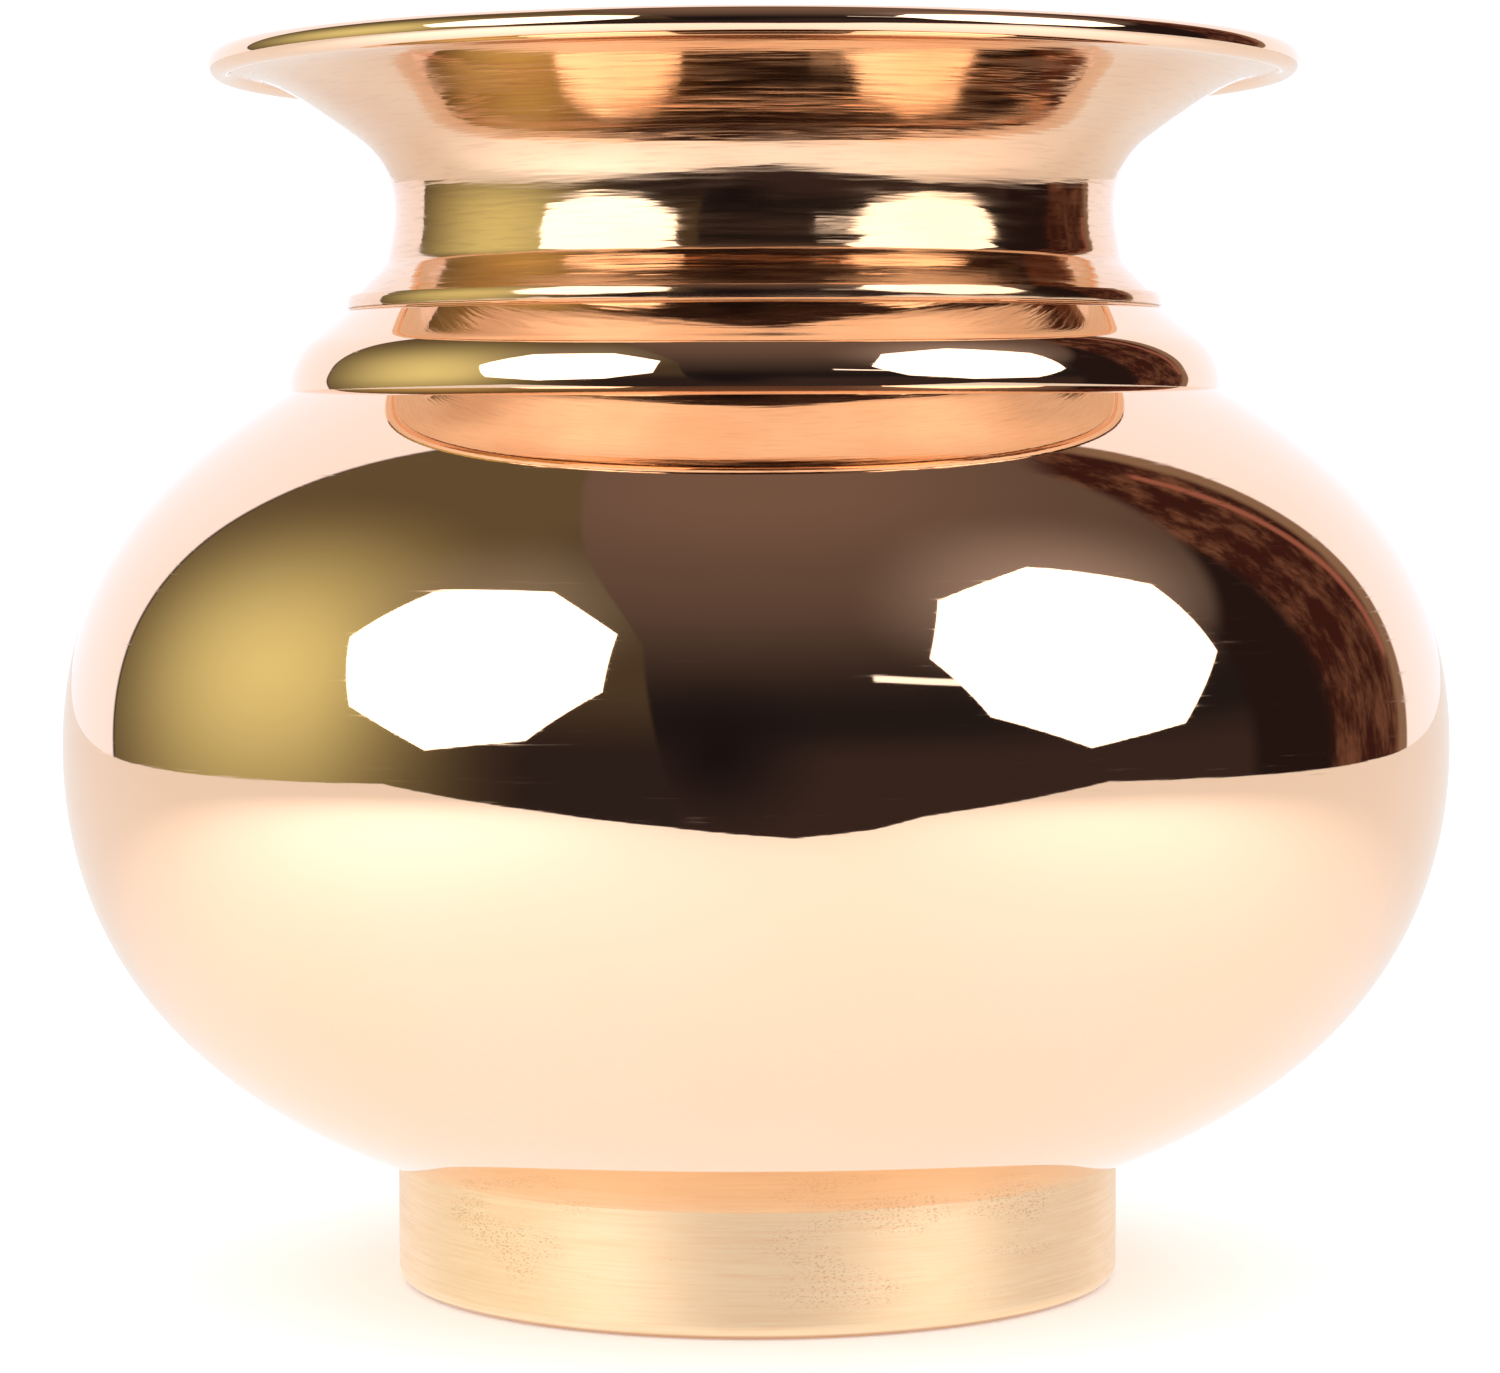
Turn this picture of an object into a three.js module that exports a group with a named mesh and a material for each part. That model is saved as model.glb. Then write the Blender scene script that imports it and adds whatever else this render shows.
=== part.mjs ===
// A kalash: a small round-bellied copper water pot, spun and brazed together from separate pieces.
// Millimetres, +Z up, origin on the axis at the plane that the foot stands on.
// Every outline is a half section, drawn as radius (x) and height (y), and turned about the axis.
import * as THREE from "three";

// Driving dimensions.
const HEIGHT = 100;
const BELLY_RADIUS = 56.4;
const BELLY_HEIGHT = 43.9;
const BOWL_BOTTOM = 5;
const COLLAR_RADIUS = 38;
const COLLAR_FOOT = 72.6;
const COLLAR_TOP = 79.3;
const LIP_RADIUS = 43.2;
const FOOT_RADIUS = 29.55;

// Sheet, wire and clearances: FIT is the gap left at a fitted face.
const BODY_SHEET = 0.8;
const NECK_SHEET = 0.7;
const FOOT_SHEET = 1;
const WIRE_RADIUS = 0.35;
const FIT = 0.05;
const SEGMENTS = 44;

// How far the bowl and shoulder curves run straight on before they turn in.
const BOWL_FLAT = 24.7;
const BOWL_WALL = 29.2;
const SHOULDER_WALL = 15;
const SHOULDER_RUN = 9.6;
const SHOULDER_DROP = 5.9;

// The belly's lap joint: the bowl's edge steps in and rises inside the shoulder.
const LAP = 3;
const LAP_TAPER = 0.35;
const LAP_RADIUS = BELLY_RADIUS - BODY_SHEET - 0.07;

// The shoulder's spigot, a short upright tube that the neck is brazed to.
const SPIGOT_RADIUS = 31.1;
const SPIGOT_FOOT = 78.2;
const SPIGOT_TOP = 80.3;
const SPIGOT_TUCK = 2.9;

// The collar: a quarter round, and the shelf on top that carries the neck.
const ROUND_ACROSS = 4.55;
const ROUND_UP = 5.1;
const ROUND_SWEEP = 64;
const SHELF_RADIUS = 33.05;

// The neck: a low ridge, then three curves, in to the throat, out to the flare and along to the
// lip. The waist, 29.3 in radius, is a little above the throat. Slopes are in degrees from the
// level; each pull is how far a curve holds its end direction.
const RIDGE = 0.32;
const NECK_SLOPE = 134;
const NECK_PULL = 5.2;
const THROAT_RADIUS = 29.6;
const THROAT_HEIGHT = 84.8;
const THROAT_SLOPE = 101.9;
const THROAT_PULL_DOWN = 2.5;
const THROAT_PULL_UP = 2.65;
const FLARE_RADIUS = 32.45;
const FLARE_HEIGHT = 93.35;
const FLARE_SLOPE = 35.3;
const FLARE_PULL_DOWN = 4.3;
const FLARE_PULL_UP = 6;
const LIP_SLOPE = 0.7;
const LIP_PULL = 2.85;

// The rolled lip, round a wire. The sheet meets the roll at LIP_OPEN and curls on to LIP_END.
const LIP_ROLL = 1.1;
const LIP_BORE = LIP_ROLL - NECK_SHEET;
const LIP_OPEN = 142;
const LIP_END = -144;
const lipCentre = at(LIP_RADIUS, HEIGHT - LIP_ROLL);

// The foot's turned-in standing face.
const FOOT_INNER = 24.5;
const FOOT_BEND = 1.2;

// Finishes.
const MIRROR_COPPER = { color: 0xf0b595, metalness: 1, roughness: 0.06 };
const TURNED_COPPER = { color: 0xeeb68f, metalness: 1, roughness: 0.16 };
const SATIN_COPPER = { color: 0xf0bd94, metalness: 1, roughness: 0.34 };
const FILLER = { color: 0xd9b27a, metalness: 1, roughness: 0.4 };
const WIRE_BRASS = { color: 0xc8a45c, metalness: 1, roughness: 0.3 };

function at(radius, height) {
  return new THREE.Vector2(radius, height);
}

function bezier(start, startHandle, endHandle, end) {
  return new THREE.CubicBezierCurve(start, startHandle, endHandle, end);
}

// Points on an ellipse from one angle to another, in degrees, 0 pointing away from the axis.
function arc(centre, across, up, from, to, steps) {
  const points = [];
  for (let i = 0; i <= steps; i++) {
    const angle = THREE.MathUtils.degToRad(from + ((to - from) * i) / steps);
    points.push(at(centre.x + across * Math.cos(angle), centre.y + up * Math.sin(angle)));
  }
  return points;
}

// The same line moved sideways: to the left of its direction for a positive distance.
function offset(points, distance) {
  return points.map((point, i) => {
    const before = points[Math.max(i - 1, 0)];
    const after = points[Math.min(i + 1, points.length - 1)];
    const along = after.clone().sub(before).normalize();
    return at(point.x - along.y * distance, point.y + along.x * distance);
  });
}

// A point a distance away in a direction, in degrees from the level.
function step(from, degrees, distance) {
  const angle = THREE.MathUtils.degToRad(degrees);
  return at(from.x + distance * Math.cos(angle), from.y + distance * Math.sin(angle));
}

// Every second point of a line, with both ends kept, for the inner side of a sheet.
function coarser(points) {
  return points.filter((point, i) => i % 2 === 0 || i === points.length - 1);
}

// Height at which a curve that runs outwards from the axis reaches a radius.
function heightAt(curve, radius) {
  let low = 0;
  let high = 1;
  for (let i = 0; i < 40; i++) {
    const middle = (low + high) / 2;
    if (curve.getPoint(middle).x < radius) low = middle;
    else high = middle;
  }
  return curve.getPoint(low).y;
}

// One turned piece from a closed section.
function turned(name, section, finish) {
  const geometry = new THREE.LatheGeometry([...section, section[0].clone()], SEGMENTS);
  geometry.rotateX(Math.PI / 2);
  const mesh = new THREE.Mesh(geometry, new THREE.MeshStandardMaterial(finish));
  mesh.name = name;
  return mesh;
}

// Outer curve of the bowl, from its lowest point on the axis to the widest point of the belly.
const bowlCurve = bezier(
  at(0, BOWL_BOTTOM),
  at(BOWL_FLAT, BOWL_BOTTOM),
  at(BELLY_RADIUS, BELLY_HEIGHT - BOWL_WALL),
  at(BELLY_RADIUS, BELLY_HEIGHT),
);

// Outer curve of the shoulder, from the widest point up to the collar.
const shoulderCurve = bezier(
  at(BELLY_RADIUS, BELLY_HEIGHT),
  at(BELLY_RADIUS, BELLY_HEIGHT + SHOULDER_WALL),
  at(COLLAR_RADIUS + SHOULDER_RUN, COLLAR_FOOT - SHOULDER_DROP),
  at(COLLAR_RADIUS, COLLAR_FOOT),
);

// Lower half of the body: a spun bowl with a stepped-in rim.
function bellyShell() {
  const outside = bowlCurve.getPoints(18);
  const inside = offset(bowlCurve.getPoints(11), BODY_SHEET);
  inside[0].x = 0;
  const lapTop = BELLY_HEIGHT + LAP;
  const rim = [
    at(LAP_RADIUS, BELLY_HEIGHT),
    at(LAP_RADIUS - LAP_TAPER, lapTop),
    at(LAP_RADIUS - LAP_TAPER - BODY_SHEET, lapTop),
    at(LAP_RADIUS - BODY_SHEET, BELLY_HEIGHT),
  ];
  const belowRim = inside.filter((point) => point.y < BELLY_HEIGHT - 2 * BODY_SHEET);
  return turned("belly_shell", [...outside, ...rim, ...belowRim.reverse()], MIRROR_COPPER);
}

// Upper half of the body: from the belly's widest point up over the shoulder to the spigot.
function shoulderShell() {
  const underCollar = bezier(
    at(COLLAR_RADIUS, COLLAR_FOOT),
    at(SPIGOT_RADIUS + SPIGOT_TUCK, COLLAR_FOOT + 2.4),
    at(SPIGOT_RADIUS, SPIGOT_FOOT - SPIGOT_TUCK),
    at(SPIGOT_RADIUS, SPIGOT_FOOT),
  );
  const shoulder = shoulderCurve.getPoints(12);
  const spigot = [...underCollar.getPoints(5).slice(1), at(SPIGOT_RADIUS, SPIGOT_TOP)];
  const outside = [...shoulder, ...spigot];
  const inside = [
    ...coarser(offset(shoulder, BODY_SHEET)),
    ...offset(outside, BODY_SHEET).slice(shoulder.length),
  ];
  const lowest = BELLY_HEIGHT + FIT;
  outside[0].y = lowest;
  inside[0].y = lowest;
  return turned("shoulder_shell", [...outside, ...inside.reverse()], MIRROR_COPPER);
}

// Round moulding at the foot of the neck: a quarter round, a cove above it, and a flat top
// flange that fits round the spigot and carries the neck.
function neckCollar() {
  const roundCentre = at(COLLAR_RADIUS - FIT - ROUND_ACROSS, COLLAR_FOOT + 2 * FIT);
  const round = arc(roundCentre, ROUND_ACROSS, ROUND_UP, 0, ROUND_SWEEP, 8);
  const cove = bezier(
    round[round.length - 1],
    at(SHELF_RADIUS + 1.85, COLLAR_TOP - 1.35),
    at(SHELF_RADIUS + 0.55, COLLAR_TOP - 0.85),
    at(SHELF_RADIUS + 0.1, COLLAR_TOP - 0.15),
  ).getPoints(4);
  const outside = [...round, ...cove.slice(1)];
  const flangeUnderside = COLLAR_TOP - BODY_SHEET;
  const inside = offset(outside, BODY_SHEET).filter((point) => point.y < flangeUnderside - 0.3);
  inside[0].y = COLLAR_FOOT + 0.6;
  const flange = [
    at(SHELF_RADIUS, COLLAR_TOP),
    at(SPIGOT_RADIUS + FIT, COLLAR_TOP),
    at(SPIGOT_RADIUS + FIT, flangeUnderside),
  ];
  return turned("neck_collar", [...outside, ...flange, ...inside.reverse()], MIRROR_COPPER);
}

// Neck, flare and rolled lip, spun from one sheet.
function mouthFlare() {
  const base = COLLAR_TOP + FIT;
  const ridge = arc(at(SHELF_RADIUS - 0.1, base + RIDGE), RIDGE, RIDGE, -90, 100, 8);
  const neckFoot = ridge[ridge.length - 1];
  const throat = at(THROAT_RADIUS, THROAT_HEIGHT);
  const flare = at(FLARE_RADIUS, FLARE_HEIGHT);
  const meeting = step(lipCentre, LIP_END, LIP_ROLL + 2 * FIT);
  const lower = bezier(
    neckFoot,
    step(neckFoot, NECK_SLOPE, NECK_PULL),
    step(throat, THROAT_SLOPE, -THROAT_PULL_DOWN),
    throat,
  );
  const upper = bezier(
    throat,
    step(throat, THROAT_SLOPE, THROAT_PULL_UP),
    step(flare, FLARE_SLOPE, -FLARE_PULL_DOWN),
    flare,
  );
  const rise = bezier(
    flare,
    step(flare, FLARE_SLOPE, FLARE_PULL_UP),
    step(meeting, LIP_SLOPE, -LIP_PULL),
    meeting,
  );
  const sheet = [
    ...lower.getPoints(10).slice(1),
    ...upper.getPoints(8).slice(1),
    ...rise.getPoints(8).slice(1),
  ];
  const wireSide = arc(lipCentre, LIP_BORE, LIP_BORE, LIP_OPEN, LIP_END, 9);
  const rollSide = arc(lipCentre, LIP_ROLL, LIP_ROLL, LIP_END, LIP_OPEN, 11);
  const inside = coarser(offset(sheet, NECK_SHEET)).filter((point) => point.y > base + RIDGE);
  const foot = [at(SHELF_RADIUS - 0.6, base)];
  return turned(
    "mouth_flare",
    [...ridge, ...sheet, ...wireSide, ...rollSide, ...inside.reverse(), ...foot],
    TURNED_COPPER,
  );
}

// Wire that the lip is rolled round.
function rimWire() {
  return turned("rim_wire", arc(lipCentre, WIRE_RADIUS, WIRE_RADIUS, 0, 315, 7), WIRE_BRASS);
}

// Plain ring under the bowl, its lower edge turned in to a flat standing face.
function footRing() {
  const wall = FOOT_RADIUS - FOOT_SHEET;
  const heel = at(FOOT_RADIUS - FOOT_BEND, FOOT_BEND);
  const section = [
    at(FOOT_INNER, 0),
    ...arc(heel, FOOT_BEND, FOOT_BEND, -90, 0, 5),
    at(FOOT_RADIUS, heightAt(bowlCurve, FOOT_RADIUS) - 2 * FIT),
    at(wall, heightAt(bowlCurve, wall) - 2 * FIT),
    at(wall, FOOT_SHEET + 0.4),
    at(wall - 0.4, FOOT_SHEET),
    at(FOOT_INNER, FOOT_SHEET),
  ];
  return turned("foot_ring", section, SATIN_COPPER);
}

// Filler between the spigot, the collar's flange and the inside of the neck.
function neckBraze() {
  const lowest = COLLAR_TOP + 2 * FIT;
  const inner = SPIGOT_RADIUS + FIT;
  const section = [
    at(inner, lowest),
    at(inner + 1, lowest),
    at(inner + 0.4, lowest + 0.5),
    at(inner + FIT, SPIGOT_TOP),
    at(inner, SPIGOT_TOP),
  ];
  return turned("neck_braze", section, FILLER);
}

// Filler inside the collar, where its lower edge stands on the shoulder.
function collarBraze() {
  const section = [
    at(COLLAR_RADIUS - 1.08, COLLAR_FOOT + 0.74),
    at(COLLAR_RADIUS - 1.22, COLLAR_FOOT + 1.6),
    at(COLLAR_RADIUS - 2.05, COLLAR_FOOT + 1.27),
  ];
  return turned("collar_braze", section, FILLER);
}

// Filler on the inside of the belly's lap joint.
function bellyBraze() {
  const lowest = BELLY_HEIGHT + LAP + FIT;
  const edge = LAP_RADIUS - LAP_TAPER;
  const section = [at(edge - 0.75, lowest), at(edge + FIT, lowest), at(edge - FIT, lowest + 0.9)];
  return turned("belly_braze", section, FILLER);
}

// Filler inside the foot, where its upper edge meets the bowl.
function footBraze() {
  const fillet = 1.1;
  const outer = FOOT_RADIUS - FOOT_SHEET - FIT;
  const inner = outer - fillet;
  const section = [
    at(outer, heightAt(bowlCurve, outer) - fillet),
    at(outer, heightAt(bowlCurve, outer) - 2 * FIT),
    at(inner, heightAt(bowlCurve, inner) - 2 * FIT),
  ];
  return turned("foot_braze", section, FILLER);
}

const kalash = new THREE.Group();
kalash.add(
  mouthFlare(),
  rimWire(),
  neckCollar(),
  shoulderShell(),
  bellyShell(),
  footRing(),
  neckBraze(),
  collarBraze(),
  bellyBraze(),
  footBraze(),
);

export default kalash;
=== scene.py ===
"""A kalash, a small copper water pot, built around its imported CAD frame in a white-floored studio.

Each CAD node gives its own half section, read from the front edge of its mesh. The section is
smoothed between its sharp corners, turned finely about the axis and finished as that piece's metal.
"""
import math

import bpy
import numpy as np
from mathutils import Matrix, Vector

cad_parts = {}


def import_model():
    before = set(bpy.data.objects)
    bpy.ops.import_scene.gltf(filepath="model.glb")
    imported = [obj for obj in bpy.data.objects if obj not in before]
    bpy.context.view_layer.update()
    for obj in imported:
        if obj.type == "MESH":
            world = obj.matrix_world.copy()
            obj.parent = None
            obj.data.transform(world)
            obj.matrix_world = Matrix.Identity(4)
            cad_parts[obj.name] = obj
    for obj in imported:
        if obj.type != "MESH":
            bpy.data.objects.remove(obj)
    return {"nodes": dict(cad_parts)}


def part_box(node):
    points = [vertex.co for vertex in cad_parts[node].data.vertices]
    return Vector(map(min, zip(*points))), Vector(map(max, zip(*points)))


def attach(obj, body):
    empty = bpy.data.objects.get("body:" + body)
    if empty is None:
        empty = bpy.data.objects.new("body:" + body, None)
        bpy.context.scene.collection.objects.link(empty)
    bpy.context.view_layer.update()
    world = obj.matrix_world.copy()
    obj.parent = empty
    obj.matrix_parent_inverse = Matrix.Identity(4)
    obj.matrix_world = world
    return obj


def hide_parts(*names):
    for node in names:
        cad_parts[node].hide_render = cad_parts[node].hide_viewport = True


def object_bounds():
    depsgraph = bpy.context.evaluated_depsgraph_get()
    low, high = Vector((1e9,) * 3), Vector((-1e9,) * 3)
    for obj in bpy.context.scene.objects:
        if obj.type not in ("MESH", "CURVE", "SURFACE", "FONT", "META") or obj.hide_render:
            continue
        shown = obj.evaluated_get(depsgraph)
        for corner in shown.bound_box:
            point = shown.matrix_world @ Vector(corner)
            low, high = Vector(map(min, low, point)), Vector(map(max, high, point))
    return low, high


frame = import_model()
cad_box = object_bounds()

low, high = cad_box
HEIGHT = high.z - low.z
BELLY_RADIUS = high.x

MM = 0.001
# Steps round the axis, and steps along a section between two points of the CAD's section.
TURNS = 192
STEPS = 6
# A section keeps a corner where it turns by more than CORNER, and gentler ones on the collar. It
# keeps a straight that is more than STRAIGHT times as long as the next one.
CORNER = math.radians(33)
COLLAR_CORNER = math.radians(21)
STRAIGHT = 2.6
# Lengths that differ by less than this are taken as equal.
TINY = 2e-6
# How far an edge is moved to close the gap that the CAD leaves at a fitted face.
CLOSE = 0.06 * MM

# Places on the half section, as (radius, height). The CAD's ridge is the points within RIDGE_REACH
# of RIDGE_AT that stand out past RIDGE_INSIDE. An arc takes its place, joined to RIDGE_FOOT below
# and to RIDGE_WALL above.
RIDGE_AT = np.array([32.95, 79.67]) * MM
RIDGE_REACH = 0.35 * MM
RIDGE_INSIDE = 32.85 * MM
RIDGE_FOOT = np.array([32.95, 79.35]) * MM
RIDGE_WALL = np.array([32.53, 80.36]) * MM
RIDGE_CENTRE = np.array([31.72, 79.6]) * MM
RIDGE_RADIUS = 1.48 * MM
RIDGE_ARC = np.radians([-9, 30])
# The cove above the collar is a cone between two points, and moves by less than COVE_DEPTH.
COVE_FOOT = np.array([35.944, 76.928]) * MM
COVE_TOP = np.array([33.15, 79.15]) * MM
COVE_DEPTH = 0.2 * MM
# The foot's points that are within this of its top are taken up into the bowl.
FOOT_EDGE = 0.72 * MM
# The sheet meets the lip's roll where it is this many times the roll's radius from the wire.
ROLL_MEETS = (1.04, 1.15)


# ---------------------------------------------------------------------------------------------
# Sections
# ---------------------------------------------------------------------------------------------

def section_of(node):
    """The node's half section, as (radius, height) points in order, and whether it is closed."""
    mesh = frame["nodes"][node].data
    places, links = {}, {}
    for edge in mesh.edges:
        ends = [mesh.vertices[i].co for i in edge.vertices]
        if any(abs(co.x) > TINY or co.y > TINY for co in ends):
            continue
        keys = [(round(-co.y / TINY), round(co.z / TINY)) for co in ends]
        if keys[0] == keys[1]:
            continue
        for key, other, co in ((keys[0], keys[1], ends[0]), (keys[1], keys[0], ends[1])):
            places[key] = (max(-co.y, 0.0), co.z)
            links.setdefault(key, set()).add(other)
    tips = [key for key, others in links.items() if len(others) == 1]
    here = min(tips or links, key=lambda key: (key[1], key[0]))
    walk, before = [here], None
    while True:
        onward = [key for key in links[here] if key != before and key not in walk]
        if not onward:
            break
        before, here = here, min(onward)
        walk.append(here)
    points = np.array([places[key] for key in walk])
    around = np.roll(points, -1, axis=0)
    area = np.sum(points[:, 0] * around[:, 1] - around[:, 0] * points[:, 1])
    return points if area > 0 else points[::-1], not tips


def outward(tangent):
    """The normal of a section, which runs anticlockwise, as (across, up)."""
    return tangent[1], -tangent[0]


def turn_at(before, here, after):
    """How far the line turns at a point, as an angle."""
    a, b = here - before, after - here
    return abs(math.atan2(a[0] * b[1] - a[1] * b[0], a @ b))


def smooth_runs(points, closed, corner):
    """The section cut at its corners into runs of points, each with the slopes kept at its ends.

    A long straight that runs on into a curve is cut off it too, and the curve leaves along it.
    """
    count = len(points)
    inner = range(count) if closed else range(1, count - 1)
    cuts = {} if closed else {0: "corner", count - 1: "corner"}
    for i in inner:
        before, here, after = points[i - 1], points[i], points[(i + 1) % count]
        lengths = np.linalg.norm(here - before), np.linalg.norm(after - here)
        if turn_at(before, here, after) > corner:
            cuts[i] = "corner"
        elif max(lengths) > STRAIGHT * min(lengths):
            cuts[i] = "before" if lengths[0] > lengths[1] else "after"
    order = sorted(cuts)
    pairs = list(zip(order, order[1:]))
    if closed:
        pairs.append((order[-1], order[0] + count))
    runs = []
    for a, b in pairs:
        run = points[[k % count for k in range(a, b + 1)]]
        into = points[a % count] - points[a % count - 1] if cuts[a % count] == "before" else None
        out = points[(b + 1) % count] - points[b % count] if cuts[b % count] == "after" else None
        runs.append((run, into, out))
    return runs


def end_slope(a, b, c):
    """Slope at a of the parabola through three points, by distance along them."""
    first, second = np.linalg.norm(b - a), np.linalg.norm(c - b)
    one, two = (b - a) / first, (c - b) / second
    return one + (one - two) * first / (first + second)


def curve_through(points, into=None, out=None):
    """Places and unit tangents of a curve with no jump in curvature through a run of points."""
    if len(points) == 2:
        along = points[1] - points[0]
        return points, np.array([along, along]) / np.linalg.norm(along)
    gap = np.linalg.norm(np.diff(points, axis=0), axis=1)
    rate = np.diff(points, axis=0) / gap[:, None]
    slopes = [end_slope(*points[:3]), -end_slope(*points[:-4:-1])]
    for end, kept in ((0, into), (-1, out)):
        slope = slopes[end]
        if kept is not None:
            slopes[end] = kept / np.linalg.norm(kept)
        elif abs(points[end][0] - BELLY_RADIUS) < TINY:
            slopes[end] = np.array([0.0, math.copysign(1.0, slope[1])])
        elif points[end][0] < TINY:
            slopes[end] = np.array([math.copysign(1.0, slope[0]), 0.0])
    count = len(points)
    system, wanted = np.eye(count), np.zeros((count, 2))
    wanted[0], wanted[-1] = slopes
    for i in range(1, count - 1):
        system[i, i - 1 : i + 2] = gap[i], 2 * (gap[i - 1] + gap[i]), gap[i - 1]
        wanted[i] = 3 * (gap[i - 1] * rate[i] + gap[i] * rate[i - 1])
    slope = np.linalg.solve(system, wanted)
    places, tangents = [], []
    for i in range(count - 1):
        last = i == count - 2
        for t in np.arange(STEPS + last) / STEPS:
            h = gap[i]
            places.append(
                (2 * t**3 - 3 * t**2 + 1) * points[i]
                + (t**3 - 2 * t**2 + t) * h * slope[i]
                + (3 * t**2 - 2 * t**3) * points[i + 1]
                + (t**3 - t**2) * h * slope[i + 1]
            )
            tangents.append(
                (6 * t**2 - 6 * t) / h * (points[i] - points[i + 1])
                + (3 * t**2 - 4 * t + 1) * slope[i]
                + (3 * t**2 - 2 * t) * slope[i + 1]
            )
    tangents = np.array(tangents)
    return np.array(places), tangents / np.linalg.norm(tangents, axis=1)[:, None]


# ---------------------------------------------------------------------------------------------
# Turned pieces
# ---------------------------------------------------------------------------------------------

def turned_piece(node, finishes, finish_at=None, edit=None, corner=CORNER):
    """A fine smooth turning of a CAD node's section, which stands for that node."""
    points, closed = section_of(node)
    if edit:
        points = edit(points)
    rings, spans, reach = [], [], []
    gone = 0.0
    for run, into, out in smooth_runs(points, closed, corner):
        places, tangents = curve_through(run, into, out)
        steps = np.linalg.norm(np.diff(places, axis=0), axis=1)
        for i, step in enumerate(steps):
            rings.append(places[i])
            reach.append(gone)
            spans.append((tangents[i], tangents[i + 1], (places[i] + places[i + 1]) / 2))
            gone += step
    if not closed:
        rings.append(places[-1])
        reach.append(gone)
    count = len(rings)
    angles = np.arange(TURNS) * 2 * math.pi / TURNS
    verts, lathe, index = [], [], []
    for (radius, height), along in zip(rings, reach):
        on_axis = radius < TINY
        index.append([len(verts) + (0 if on_axis else k) for k in range(TURNS)])
        for angle in angles[:1] if on_axis else angles:
            verts.append((radius * math.sin(angle), -radius * math.cos(angle), height))
            lathe.append((math.sin(angle), -math.cos(angle), along))
    faces, normals, material = [], [], []
    for i, (start, end, middle) in enumerate(spans):
        lower, upper = index[i], index[(i + 1) % count]
        which = finish_at(middle, (start + end) / 2) if finish_at else 0
        for k in range(TURNS):
            m = (k + 1) % TURNS
            corners = [(lower[k], k, start), (lower[m], m, start)]
            corners += [(upper[m], m, end), (upper[k], k, end)]
            if lower[k] == lower[m]:
                corners.pop(1)
            elif upper[k] == upper[m]:
                corners.pop(2)
            faces.append([corner[0] for corner in corners])
            material.append(which)
            for _, at, tangent in corners:
                across, up = outward(tangent)
                normals.append((across * math.sin(angles[at]), -across * math.cos(angles[at]), up))
    mesh = bpy.data.meshes.new(node + "_turned")
    mesh.from_pydata(verts, [], faces)
    mesh.attributes.new("lathe", "FLOAT_VECTOR", "POINT").data.foreach_set(
        "vector", np.array(lathe, np.float32).ravel()
    )
    for finish in finishes:
        mesh.materials.append(finish)
    mesh.polygons.foreach_set("material_index", material)
    mesh.polygons.foreach_set("use_smooth", [True] * len(faces))
    mesh.normals_split_custom_set(normals)
    mesh.update()
    piece = bpy.data.objects.new(node + "_turned", mesh)
    bpy.context.scene.collection.objects.link(piece)
    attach(piece, "root")
    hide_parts(node)
    return piece


# ---------------------------------------------------------------------------------------------
# Node materials
# ---------------------------------------------------------------------------------------------

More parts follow.
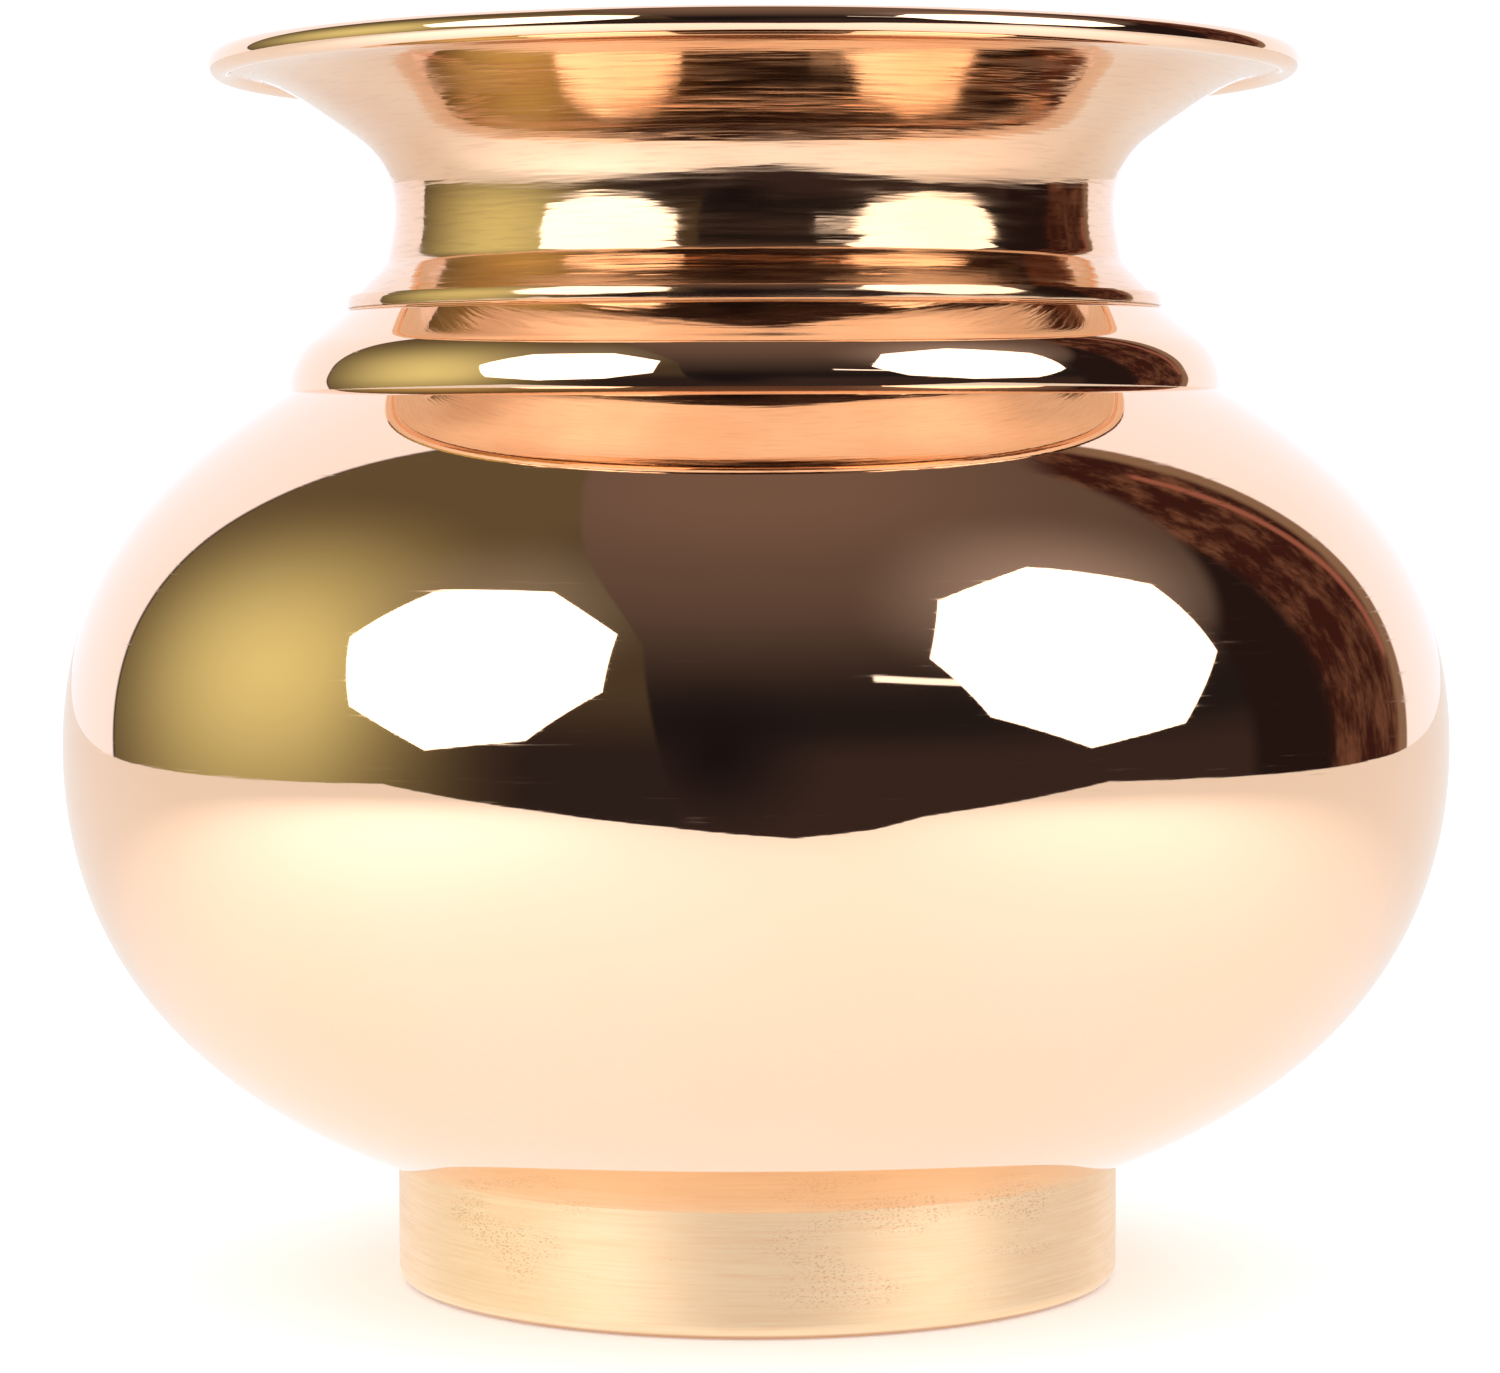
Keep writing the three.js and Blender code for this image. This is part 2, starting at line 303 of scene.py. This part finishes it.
class Finish:
    """A material's node tree, with short calls for the few kinds of node it uses."""

    def __init__(self, name):
        self.material = bpy.data.materials.new(name)
        self.material.use_nodes = True
        self.tree = self.material.node_tree
        self.tree.nodes.clear()
        self.out = self.add("ShaderNodeOutputMaterial")

    def add(self, kind, inputs=None, **settings):
        node = self.tree.nodes.new(kind)
        for key, value in settings.items():
            setattr(node, key, value)
        for key, value in (inputs or {}).items():
            self.put(node.inputs[key], value)
        return node

    def put(self, socket, value):
        """Links the value if it is another node's output, and otherwise sets it on the socket."""
        if isinstance(value, bpy.types.NodeSocket):
            self.tree.links.new(value, socket)
        else:
            socket.default_value = value

    def math(self, operation, *values, clamp=False):
        node = self.add("ShaderNodeMath", operation=operation, use_clamp=clamp)
        for socket, value in zip(node.inputs, values):
            self.put(socket, value)
        return node.outputs[0]

    def stretch(self, vector, scale):
        node = self.add("ShaderNodeMapping", {"Vector": vector, "Scale": scale})
        return node.outputs[0]

    def noise(self, vector, scale=1.0, detail=2.0, roughness=0.5):
        inputs = {"Vector": vector, "Scale": scale, "Detail": detail, "Roughness": roughness}
        return self.add("ShaderNodeTexNoise", inputs).outputs[0]

    def span(self, value, a, b, low=0.0, high=1.0, smooth=True):
        """value from a to b, taken to low to high and held beyond."""
        inputs = {"Value": value, "From Min": a, "From Max": b, "To Min": low, "To Max": high}
        kind = "SMOOTHSTEP" if smooth else "LINEAR"
        return self.add("ShaderNodeMapRange", inputs, interpolation_type=kind).outputs[0]

    def mix(self, share, first, second):
        node = self.add("ShaderNodeMix", data_type="RGBA")
        for socket, value in zip([s for s in node.inputs if s.enabled], (share, first, second)):
            self.put(socket, value)
        return [s for s in node.outputs if s.enabled][0]

    def bump(self, height, distance, onto=None):
        node = self.add("ShaderNodeBump", {"Height": height, "Distance": distance, "Strength": 1.0})
        if onto is not None:
            self.put(node.inputs["Normal"], onto)
        return node.outputs[0]

    def lathe(self):
        """Unit circle position round the axis in x and y, distance along the section in z."""
        return self.add("ShaderNodeAttribute", attribute_name="lathe").outputs["Vector"]

    def place(self):
        return self.add("ShaderNodeTexCoord").outputs["Object"]

    def metal(self, colour, roughness, normal, anisotropic=0.0):
        """Bare metal. anisotropic stretches a highlight across the turned lines."""
        inputs = {
            "Base Color": colour,
            "Metallic": 1.0,
            "Roughness": roughness,
            "Normal": normal,
            "Anisotropic": anisotropic,
            "Anisotropic Rotation": 0.25,
        }
        shader = self.add("ShaderNodeBsdfPrincipled", inputs)
        if anisotropic:
            tangent = self.add("ShaderNodeTangent", direction_type="RADIAL", axis="Z")
            self.put(shader.inputs["Tangent"], tangent.outputs[0])
        self.put(self.out.inputs["Surface"], shader.outputs[0])
        return self.material


# Colours, linear.
COPPER = (0.93, 0.65, 0.465, 1.0)
COPPER_WARM = (0.91, 0.59, 0.36, 1.0)
NECK_COPPER = (0.86, 0.59, 0.395, 1.0)
NECK_WARM = (0.81, 0.50, 0.31, 1.0)
NECK_DULL = (0.60, 0.39, 0.27, 1.0)
FOOT_LIGHT = (1.0, 0.75, 0.49, 1.0)
FOOT_WARM = (0.97, 0.67, 0.40, 1.0)
# Pit colour, and also the painted contact shade along the foot's lowest edge.
FOOT_PIT_AND_CONTACT_SHADE = (0.52, 0.24, 0.11, 1.0)
INSIDE_DULL = (0.80, 0.50, 0.33, 1.0)
BRAZE_DARK = (0.72, 0.52, 0.28, 1.0)
BRAZE_PALE = (0.84, 0.66, 0.40, 1.0)
BRASS_DARK = (0.62, 0.45, 0.17, 1.0)
BRASS_PALE = (0.72, 0.55, 0.24, 1.0)
LAMP = (1.0, 0.98, 0.94, 1.0)
TUBE = (1.6, 1.6, 1.6, 1.0)
BACKDROP = (1.12, 1.13, 1.25, 1.0)
# Painted light: the colour of the glowing spots on the table.
PAINTED_LAMP_ON_TABLE = (1.0, 0.99, 1.02, 1.0)
WHITE = (1.0, 1.0, 1.0, 1.0)

# A noise on the lathe vector is stretched by its scale round the axis, twice, and then by its scale
# along the section, per metre. A large third number makes fine turned lines.


def mirror_copper():
    """Mirror polish, with faint wiping scratches round the axis and a slight wave."""
    finish = Finish("mirror_copper")
    lathe, place = finish.lathe(), finish.place()
    tint = finish.noise(place, 45.0, 2.0)
    colour = finish.mix(finish.span(tint, 0.35, 0.75, 0.0, 0.18), COPPER, COPPER_WARM)
    wipes = finish.noise(finish.stretch(lathe, (5.0, 5.0, 2600.0)), 1.0, 3.0, 0.7)
    streaks = finish.span(wipes, 0.56, 0.74)
    roughness = finish.span(streaks, 0.0, 1.0, 0.022, 0.12, smooth=False)
    waves = finish.bump(finish.noise(place, 55.0, 1.0), 22e-6)
    scratches = finish.bump(wipes, 0.35e-6, waves)
    return finish.metal(colour, roughness, scratches)


def turned_copper():
    """Polish over fine turned lines, which spread a highlight up and down."""
    finish = Finish("turned_copper")
    lathe, place = finish.lathe(), finish.place()
    tint = finish.noise(place, 60.0, 2.0)
    colour = finish.mix(finish.span(tint, 0.35, 0.75), NECK_COPPER, NECK_WARM)
    streaks = finish.noise(finish.stretch(lathe, (8.0, 8.0, 4200.0)), 1.0, 2.0, 0.6)
    colour = finish.mix(finish.span(streaks, 0.48, 0.72, 0.0, 0.3), colour, NECK_DULL)
    lines = finish.noise(finish.stretch(lathe, (4.0, 4.0, 2100.0)), 1.0, 1.6, 0.6)
    bands = finish.noise(finish.stretch(lathe, (1.2, 1.2, 900.0)), 1.0, 1.0)
    roughness = finish.span(lines, 0.35, 0.75, 0.06, 0.17)
    broad = finish.bump(bands, 18e-6)
    fine = finish.bump(lines, 24e-6, broad)
    return finish.metal(colour, roughness, fine, anisotropic=0.7)


def satin_copper():
    """Satin turned lines, with small pits in patches and painted contact shade where the foot
    stands.
    """
    finish = Finish("satin_copper")
    lathe, place = finish.lathe(), finish.place()
    height = finish.add("ShaderNodeSeparateXYZ", {"Vector": place}).outputs["Z"]
    lines = finish.noise(finish.stretch(lathe, (3.5, 3.5, 5200.0)), 1.0, 3.0, 0.7)
    streaks = finish.noise(finish.stretch(lathe, (7.0, 7.0, 1500.0)), 1.0, 3.0, 0.65)
    colour = finish.mix(finish.span(lines, 0.3, 0.72, 0.0, 0.75), FOOT_LIGHT, FOOT_WARM)
    colour = finish.mix(finish.span(streaks, 0.5, 0.75, 0.0, 0.5), colour, FOOT_WARM)
    patches = finish.noise(finish.stretch(lathe, (2.6, 2.6, 190.0)), 1.0, 2.0)
    patches = finish.span(patches, 0.52, 0.66)
    specks = finish.noise(finish.stretch(lathe, (110.0, 110.0, 11000.0)), 1.0, 0.0)
    pits = finish.math("MULTIPLY", patches, finish.span(specks, 0.6, 0.7))
    pits = finish.math("MULTIPLY", pits, finish.span(height, 1.5 * MM, 3.5 * MM))
    colour = finish.mix(finish.math("MULTIPLY", pits, 0.4), colour, FOOT_PIT_AND_CONTACT_SHADE)
    # Painted shade: a dark contact line along the lowest half millimetre of the foot.
    colour = finish.mix(finish.span(height, 0.55 * MM, 0.15 * MM, 0.0, 0.9), colour, FOOT_PIT_AND_CONTACT_SHADE)
    roughness = finish.span(lines, 0.3, 0.75, 0.40, 0.50)
    fine = finish.bump(lines, 6e-6)
    pitted = finish.bump(finish.math("MULTIPLY", pits, -1.0), 6e-6, fine)
    return finish.metal(colour, roughness, pitted, anisotropic=0.65)


def inside_copper():
    """The inside, dull and a little blotched."""
    finish = Finish("inside_copper")
    lathe, place = finish.lathe(), finish.place()
    patches = finish.noise(place, 35.0, 4.0, 0.6)
    colour = finish.mix(finish.span(patches, 0.4, 0.7, 0.1, 0.8), COPPER, INSIDE_DULL)
    lines = finish.noise(finish.stretch(lathe, (3.0, 3.0, 1500.0)), 1.0, 3.0, 0.6)
    roughness = finish.span(patches, 0.3, 0.8, 0.2, 0.36)
    fine = finish.bump(lines, 10e-6)
    return finish.metal(colour, roughness, fine, anisotropic=0.3)


def braze():
    """Lumpy filler in the joints."""
    finish = Finish("braze_filler")
    place = finish.place()
    lumps = finish.noise(place, 420.0, 3.0)
    colour = finish.mix(finish.span(lumps, 0.3, 0.7), BRAZE_DARK, BRAZE_PALE)
    roughness = finish.span(lumps, 0.3, 0.7, 0.34, 0.5)
    return finish.metal(colour, roughness, finish.bump(lumps, 60e-6))


def wire_brass():
    """Drawn wire in the lip."""
    finish = Finish("wire_brass")
    lathe = finish.lathe()
    draw = finish.noise(finish.stretch(lathe, (3.0, 3.0, 9000.0)), 1.0, 2.0)
    colour = finish.mix(finish.span(draw, 0.3, 0.7), BRASS_DARK, BRASS_PALE)
    roughness = finish.span(draw, 0.3, 0.7, 0.24, 0.36)
    return finish.metal(colour, roughness, finish.bump(draw, 4e-6))


# ---------------------------------------------------------------------------------------------
# The pot
# ---------------------------------------------------------------------------------------------

def lip_centre():
    """The middle of the wire that the lip is rolled round."""
    wire_low, wire_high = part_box("rim_wire")
    radius = (wire_high.z - wire_low.z) / 2
    return np.array([wire_high.x - radius, (wire_low.z + wire_high.z) / 2])


def belly_line():
    """Height of the bowl's widest point."""
    bowl, _ = section_of("belly_shell")
    return max(height for radius, height in bowl if radius > BELLY_RADIUS - TINY)


LIP = lip_centre()
LIP_ROLL = HEIGHT - LIP[1]
WIDEST = belly_line()


def close_seam(points):
    """The shoulder's lower edge brought down to meet the bowl."""
    points = points.copy()
    lowest = points[:, 1].min()
    points[points[:, 1] < lowest + TINY, 1] = WIDEST
    return points


def sink_collar(points):
    """The collar's outer edge brought down on to the shoulder, and its cove drawn as a cone."""
    points = points.copy()
    edge = points[:, 1].argmin()
    points[edge] += np.array([-CLOSE, -CLOSE])
    along = COVE_TOP - COVE_FOOT
    share = (points - COVE_FOOT) @ along / (along @ along)
    on_line = COVE_FOOT + share[:, None] * along
    away = np.linalg.norm(points - on_line, axis=1)
    near = (share > 0.05) & (share < 0.95) & (away < COVE_DEPTH)
    points[near] = on_line[near]
    return points


def ridge_line(count):
    """The neck's ridge, from its foot round an arc to the neck's wall, as this many points."""
    angles = np.linspace(*RIDGE_ARC, count - 2)
    arc = RIDGE_CENTRE + RIDGE_RADIUS * np.column_stack([np.cos(angles), np.sin(angles)])
    return np.array([RIDGE_FOOT, *arc, RIDGE_WALL])


def sink_neck(points):
    """The ridge made fuller, the neck set down on the collar, its sheet taken up to the roll."""
    points = points.copy()
    lowest = points[:, 1].min()
    ridge = np.linalg.norm(points - RIDGE_AT, axis=1) < RIDGE_REACH
    ridge &= points[:, 0] > RIDGE_INSIDE
    points[ridge] = ridge_line(np.count_nonzero(ridge))
    points[points[:, 1] < lowest + TINY, 1] -= CLOSE
    reach = np.linalg.norm(points - LIP, axis=1)
    nearest, furthest = LIP_ROLL * np.array(ROLL_MEETS)
    meeting = (reach > nearest) & (reach < furthest) & (points[:, 1] < LIP[1])
    for i in np.flatnonzero(meeting):
        points[i] = LIP + (points[i] - LIP) * (LIP_ROLL + TINY) / reach[i]
    return points


def raise_foot(points):
    """The foot's upper edge taken up into the bowl."""
    points = points.copy()
    highest = points[:, 1].max()
    points[points[:, 1] > highest - FOOT_EDGE, 1] += 2 * CLOSE
    return points


# Each of these gives the finish of a stretch of section, as a place in its piece's list of
# finishes: 0 outside, 1 inside, and 2 on the lip's roll.

def shoulder_side(middle, tangent):
    across, up = outward(tangent)
    return 1 if across < -0.05 or (up > 0.6 and across < 0.3) else 0


def bowl_side(middle, tangent):
    across, up = outward(tangent)
    return 1 if up > 0.02 or across < 0 else 0


def flare_side(middle, tangent):
    if 0.8 * LIP_ROLL < np.linalg.norm(middle - LIP) < LIP_ROLL + TINY:
        return 2
    across, up = outward(tangent)
    return 1 if across < 0 else 0


def build_pot():
    mirror, turned, satin = mirror_copper(), turned_copper(), satin_copper()
    inside, filler, wire = inside_copper(), braze(), wire_brass()
    turned_piece("mouth_flare", [turned, inside, mirror], flare_side, sink_neck)
    turned_piece("rim_wire", [wire])
    turned_piece("neck_collar", [mirror], None, sink_collar, COLLAR_CORNER)
    turned_piece("shoulder_shell", [mirror, inside], shoulder_side, close_seam)
    turned_piece("belly_shell", [mirror, inside], bowl_side)
    turned_piece("foot_ring", [satin], None, raise_foot)
    for node in ("neck_braze", "collar_braze", "belly_braze", "foot_braze"):
        turned_piece(node, [filler])


build_pot()


# ---------------------------------------------------------------------------------------------
# Studio
# ---------------------------------------------------------------------------------------------

def toward(azimuth, elevation):
    """Unit direction: azimuth 0 towards the camera, 90 to the right, in degrees."""
    a, e = math.radians(azimuth), math.radians(elevation)
    return Vector((math.sin(a) * math.cos(e), -math.cos(a) * math.cos(e), math.sin(e)))


# The point that the softboxes stand round and face.
MIDDLE = Vector((0.0, 0.0, 0.45 * HEIGHT))
# The camera, in metres and degrees, with its lens and sensor in millimetres.
LENS, SENSOR = 108.0, 36.0
CAMERA_PLACE = (-0.0004, -0.36918, 0.06974)
CAMERA_DOWN, CAMERA_ROLL = 3.314, 0.2
WORLD_LIGHT = 1.3
LAMP_LIGHT = 2.5
LAMP_AWAY = 1.1
ROOM_RADIUS = 4.0


def stage_object(name, verts, faces, material, seen_by):
    """A mesh that isn't part of the pot, shown only to the kinds of ray that are named."""
    mesh = bpy.data.meshes.new(name)
    mesh.from_pydata(verts, [], faces)
    mesh.materials.append(material)
    thing = bpy.data.objects.new(name, mesh)
    bpy.context.scene.collection.objects.link(thing)
    for kind in ("camera", "diffuse", "glossy", "transmission", "volume_scatter", "shadow"):
        setattr(thing, "visible_" + kind, kind in seen_by)
    return thing


def glow(name, colour, strength):
    """A plain light-giving material."""
    finish = Finish(name)
    shader = finish.add("ShaderNodeEmission", {"Color": colour, "Strength": strength})
    finish.put(finish.out.inputs["Surface"], shader.outputs[0])
    return finish.material


def paper(name, white, painted_light_pools=()):
    """Pale paper. Each (x, y, radius, strength) is a pool of painted light for the softboxes' light
    on it.
    """
    finish = Finish(name)
    place = finish.place()
    grain = finish.noise(place, 900.0, 2.0)
    bright = (white, 0.995 * white, 0.99 * white, 1.0)
    dull = (0.99 * white, 0.98 * white, 0.975 * white, 1.0)
    shade = finish.mix(finish.span(grain, 0.3, 0.7), bright, dull)
    shader = finish.add("ShaderNodeBsdfPrincipled", {"Base Color": shade, "Roughness": 0.9})
    glow_here = 0.0
    for x, y, radius, strength in painted_light_pools:
        ends = {0: place, 1: (x, y, 0.0)}
        away = finish.add("ShaderNodeVectorMath", ends, operation="DISTANCE").outputs["Value"]
        pool = finish.math("MULTIPLY", finish.span(away, radius, 0.0), strength)
        glow_here = finish.math("ADD", glow_here, pool)
    # Painted light: the paper glows round each given point, standing in for the softboxes' light on
    # it.
    if painted_light_pools:
        finish.put(shader.inputs["Emission Color"], PAINTED_LAMP_ON_TABLE)
        finish.put(shader.inputs["Emission Strength"], glow_here)
        finish.material.cycles.emission_sampling = "NONE"
    finish.put(finish.out.inputs["Surface"], shader.outputs[0])
    return finish.material


def softbox(name, azimuth, elevation, radius, turn):
    """An eight-sided soft light, facing the pot. Its place, radius and turn are in degrees."""
    centre = toward(azimuth, elevation)
    side = centre.cross(Vector((0, 0, 1))).normalized()
    up = side.cross(centre).normalized()
    half = math.tan(math.radians(radius))
    verts = [MIDDLE + centre * LAMP_AWAY]
    for k in range(8):
        a = math.radians(turn + 45 * k)
        verts.append(MIDDLE + (centre + (side * math.cos(a) + up * math.sin(a)) * half) * LAMP_AWAY)
    faces = [(0, 1 + k, 1 + (k + 1) % 8) for k in range(8)]
    return stage_object(name, verts, faces, glow(name, LAMP, LAMP_LIGHT), ("diffuse", "glossy"))


def seen(red, green, blue):
    """The light that the copper shows as this screen colour, 0 to 255."""
    parts = [value / 255 for value in (red, green, blue)]
    linear = [
        part / 12.92 if part <= 0.04045 else ((part + 0.055) / 1.055) ** 2.4 for part in parts
    ]
    return tuple(value / copper for value, copper in zip(linear, COPPER)) + (1.0,)


class Directions(Finish):
    """A glow painted by direction from the studio's origin, in degrees."""

    def __init__(self, name):
        super().__init__(name)
        self.where = self.place()
        x, y, z = self.add("ShaderNodeSeparateXYZ", {"Vector": self.where}).outputs
        flat = self.length(x, y)
        self.azimuth = self.math("DEGREES", self.math("ARCTAN2", x, self.math("MULTIPLY", y, -1.0)))
        self.elevation = self.math("DEGREES", self.math("ARCTAN2", z, flat))

    def length(self, x, y):
        squares = self.math("ADD", self.math("POWER", x, 2.0), self.math("POWER", y, 2.0))
        return self.math("SQRT", squares)

    def between(self, value, start, end, soft):
        rising = self.span(value, start - soft, start + soft)
        return self.math("MULTIPLY", rising, self.span(value, end + soft, end - soft))

    def patch(self, az0, az1, el0, el1, soft):
        """1 inside a window of directions, 0 outside."""
        across = self.between(self.azimuth, az0, az1, soft)
        return self.math("MULTIPLY", across, self.between(self.elevation, el0, el1, soft))

    def spot(self, azimuth, elevation, wide, tall):
        """1 in a direction, fading to 0 at an ellipse round it."""
        x = self.math("DIVIDE", self.math("SUBTRACT", self.azimuth, azimuth), wide)
        y = self.math("DIVIDE", self.math("SUBTRACT", self.elevation, elevation), tall)
        return self.span(self.length(x, y), 1.0, 0.0)


def room_material():
    """The dark room around the table, painted by direction."""
    room = Directions("room")
    azimuth, elevation = room.azimuth, room.elevation
    colour = room.mix(room.span(elevation, 14, 60), seen(34, 24, 20), seen(98, 70, 54))
    colour = room.mix(room.span(elevation, 55, 86), colour, seen(116, 83, 64))
    # Air lit up by the right light, then the low dark end of the room.
    lit = room.math("MULTIPLY", room.spot(62, 44, 46, 28), 0.9)
    colour = room.mix(lit, colour, seen(168, 134, 112))
    colour = room.mix(room.patch(-28, 88, -60, 8, 5.0), colour, seen(54, 36, 29))
    colour = room.mix(room.spot(-6, 6, 20, 24), colour, seen(27, 18, 16))
    # A tube light, tilted a little.
    slant = room.math("MULTIPLY", room.math("SUBTRACT", azimuth, 19.0), 0.17)
    along = room.math("ADD", elevation, slant)
    across = room.between(azimuth, 19.5, 36, 0.4)
    tube = room.math("MULTIPLY", across, room.between(along, 24.9, 26.7, 0.3))
    colour = room.mix(tube, colour, TUBE)
    # Olive wall on the left, its top falling away in an arc towards the camera.
    reach = room.math("DIVIDE", room.math("ABSOLUTE", room.math("ADD", azimuth, 105.0)), 92.0)
    left = room.math("SUBTRACT", 1.0, room.math("POWER", reach, 2.4), clamp=True)
    top = room.math("MULTIPLY", room.math("POWER", left, 1 / 2.4), 73.0)
    under = room.span(room.math("SUBTRACT", top, elevation), -0.5, 0.5)
    leaning = room.math("ADD", azimuth, room.math("MULTIPLY", elevation, 0.17))
    arch = room.math("MULTIPLY", room.between(leaning, -127.0, -14, 0.5), under)
    olive = room.mix(room.spot(-88, 18, 52, 44), seen(98, 74, 46), seen(226, 192, 116))
    olive = room.mix(room.span(azimuth, -78, -34), olive, seen(74, 54, 35))
    haze = room.math("MULTIPLY", room.spot(-52, 44, 40, 26), 0.6)
    olive = room.mix(haze, olive, seen(160, 132, 100))
    olive = room.mix(room.patch(-44, 0, -60, 14, 10.0), olive, seen(44, 30, 24))
    colour = room.mix(arch, colour, olive)
    # Right wall and curtain, its dark part rising away from the camera.
    rise = room.math("SUBTRACT", room.span(azimuth, 88, 122, 27, 60, smooth=False), elevation)
    tilted = room.math("SUBTRACT", azimuth, room.math("MULTIPLY", elevation, 0.12))
    wall = room.math("MULTIPLY", room.span(azimuth, 84, 88), room.span(rise, -3.0, 3.0))
    folds = room.noise(room.stretch(room.where, (3.0, 3.0, 1.2)), 1.0, 4.0, 0.7)
    cloth = room.mix(room.span(folds, 0.42, 0.68), seen(56, 24, 16), seen(112, 66, 44))
    cloth = room.mix(room.span(azimuth, 103, 108), seen(36, 21, 17), cloth)
    colour = room.mix(wall, colour, cloth)
    colour = room.mix(room.patch(126.8, 128.6, 9, 50, 0.7), colour, seen(150, 82, 60))
    margin = room.math("MULTIPLY", room.span(tilted, 126.0, 128.5), room.span(elevation, 64, 50))
    colour = room.mix(margin, colour, seen(136, 96, 68))
    # The pale backdrop behind the pot.
    back = room.math("MAXIMUM", room.span(leaning, -127.2, -128.2), room.span(tilted, 130.5, 131.5))
    back = room.math("MULTIPLY", back, room.span(elevation, 66, 62))
    colour = room.mix(back, colour, BACKDROP)
    shader = room.add("ShaderNodeEmission", {"Color": colour, "Strength": 1.0})
    room.put(room.out.inputs["Surface"], shader.outputs[0])
    room.material.cycles.emission_sampling = "NONE"
    return room.material


def room_dome(rows=24, columns=48):
    """A sphere round the studio that only reflections see."""
    verts, faces = [], []
    for i in range(rows + 1):
        for k in range(columns):
            verts.append(toward(360 * k / columns, -90 + 180 * i / rows) * ROOM_RADIUS)
    for i in range(rows):
        for k in range(columns):
            m = (k + 1) % columns
            row, above = i * columns, (i + 1) * columns
            faces.append((row + k, row + m, above + m, above + k))
    return stage_object("studio_room", verts, faces, room_material(), ("glossy",))


def floors():
    """The floor that the camera sees, and the table that only reflections see."""
    wide = 3.0
    square = [(-wide, -wide, 0), (wide, -wide, 0), (wide, wide, 0), (-wide, wide, 0)]
    bright = paper("floor_white", 0.93, [(0.0, 0.0, 6.0, 0.16)])
    stage_object("floor", square, [(0, 1, 2, 3)], bright, ("camera", "diffuse", "shadow"))
    # The table's front edge, a little way before the pot, from left to right.
    front = [(-0.70, -0.42), (-0.20, -0.31), (-0.06, -0.26), (0.02, -0.22)]
    front += [(0.07, -0.24), (0.13, -0.29), (0.72, -0.50)]
    outline = [*front, (0.72, 0.5), (1.2, 3.0), (-1.2, 3.0), (-0.70, 0.5)]
    verts = [(x, y, 0.0) for x, y in outline]
    # Painted light: glowing spots on the table where the softboxes' light falls.
    painted_light_pools = [(-0.19, -0.15, 0.27, 0.72), (0.19, -0.15, 0.27, 0.55), (0.0, -0.1, 0.3, 0.1)]
    lit = paper("table_white", 0.715, painted_light_pools)
    stage_object("table_top", verts, [tuple(range(len(verts)))], lit, ("glossy",))


def world():
    """Even light, which the camera sees as a white background and reflections don't see."""
    bpy.context.scene.world = made = bpy.data.worlds.new("studio_light")
    made.use_nodes = True
    background = made.node_tree.nodes["Background"]
    background.inputs["Color"].default_value = WHITE
    background.inputs["Strength"].default_value = WORLD_LIGHT
    made.cycles_visibility.glossy = False


def camera():
    """The photograph's view, from a little above the middle of the pot and slightly down."""
    data = bpy.data.cameras.new("camera")
    data.sensor_width = SENSOR
    data.lens = LENS
    data.clip_start, data.clip_end = 0.01, 20.0
    eye = bpy.data.objects.new("camera", data)
    bpy.context.scene.collection.objects.link(eye)
    eye.location = CAMERA_PLACE
    eye.rotation_euler = (math.radians(90 - CAMERA_DOWN), math.radians(CAMERA_ROLL), 0.0)
    bpy.context.scene.camera = eye


room_dome()
softbox("softbox_left", -48.5, 26.5, 22.7, 10)
softbox("softbox_right", 57, 28, 24.2, 10)
floors()
world()
camera()

bpy.context.scene.view_settings.view_transform = "Standard"
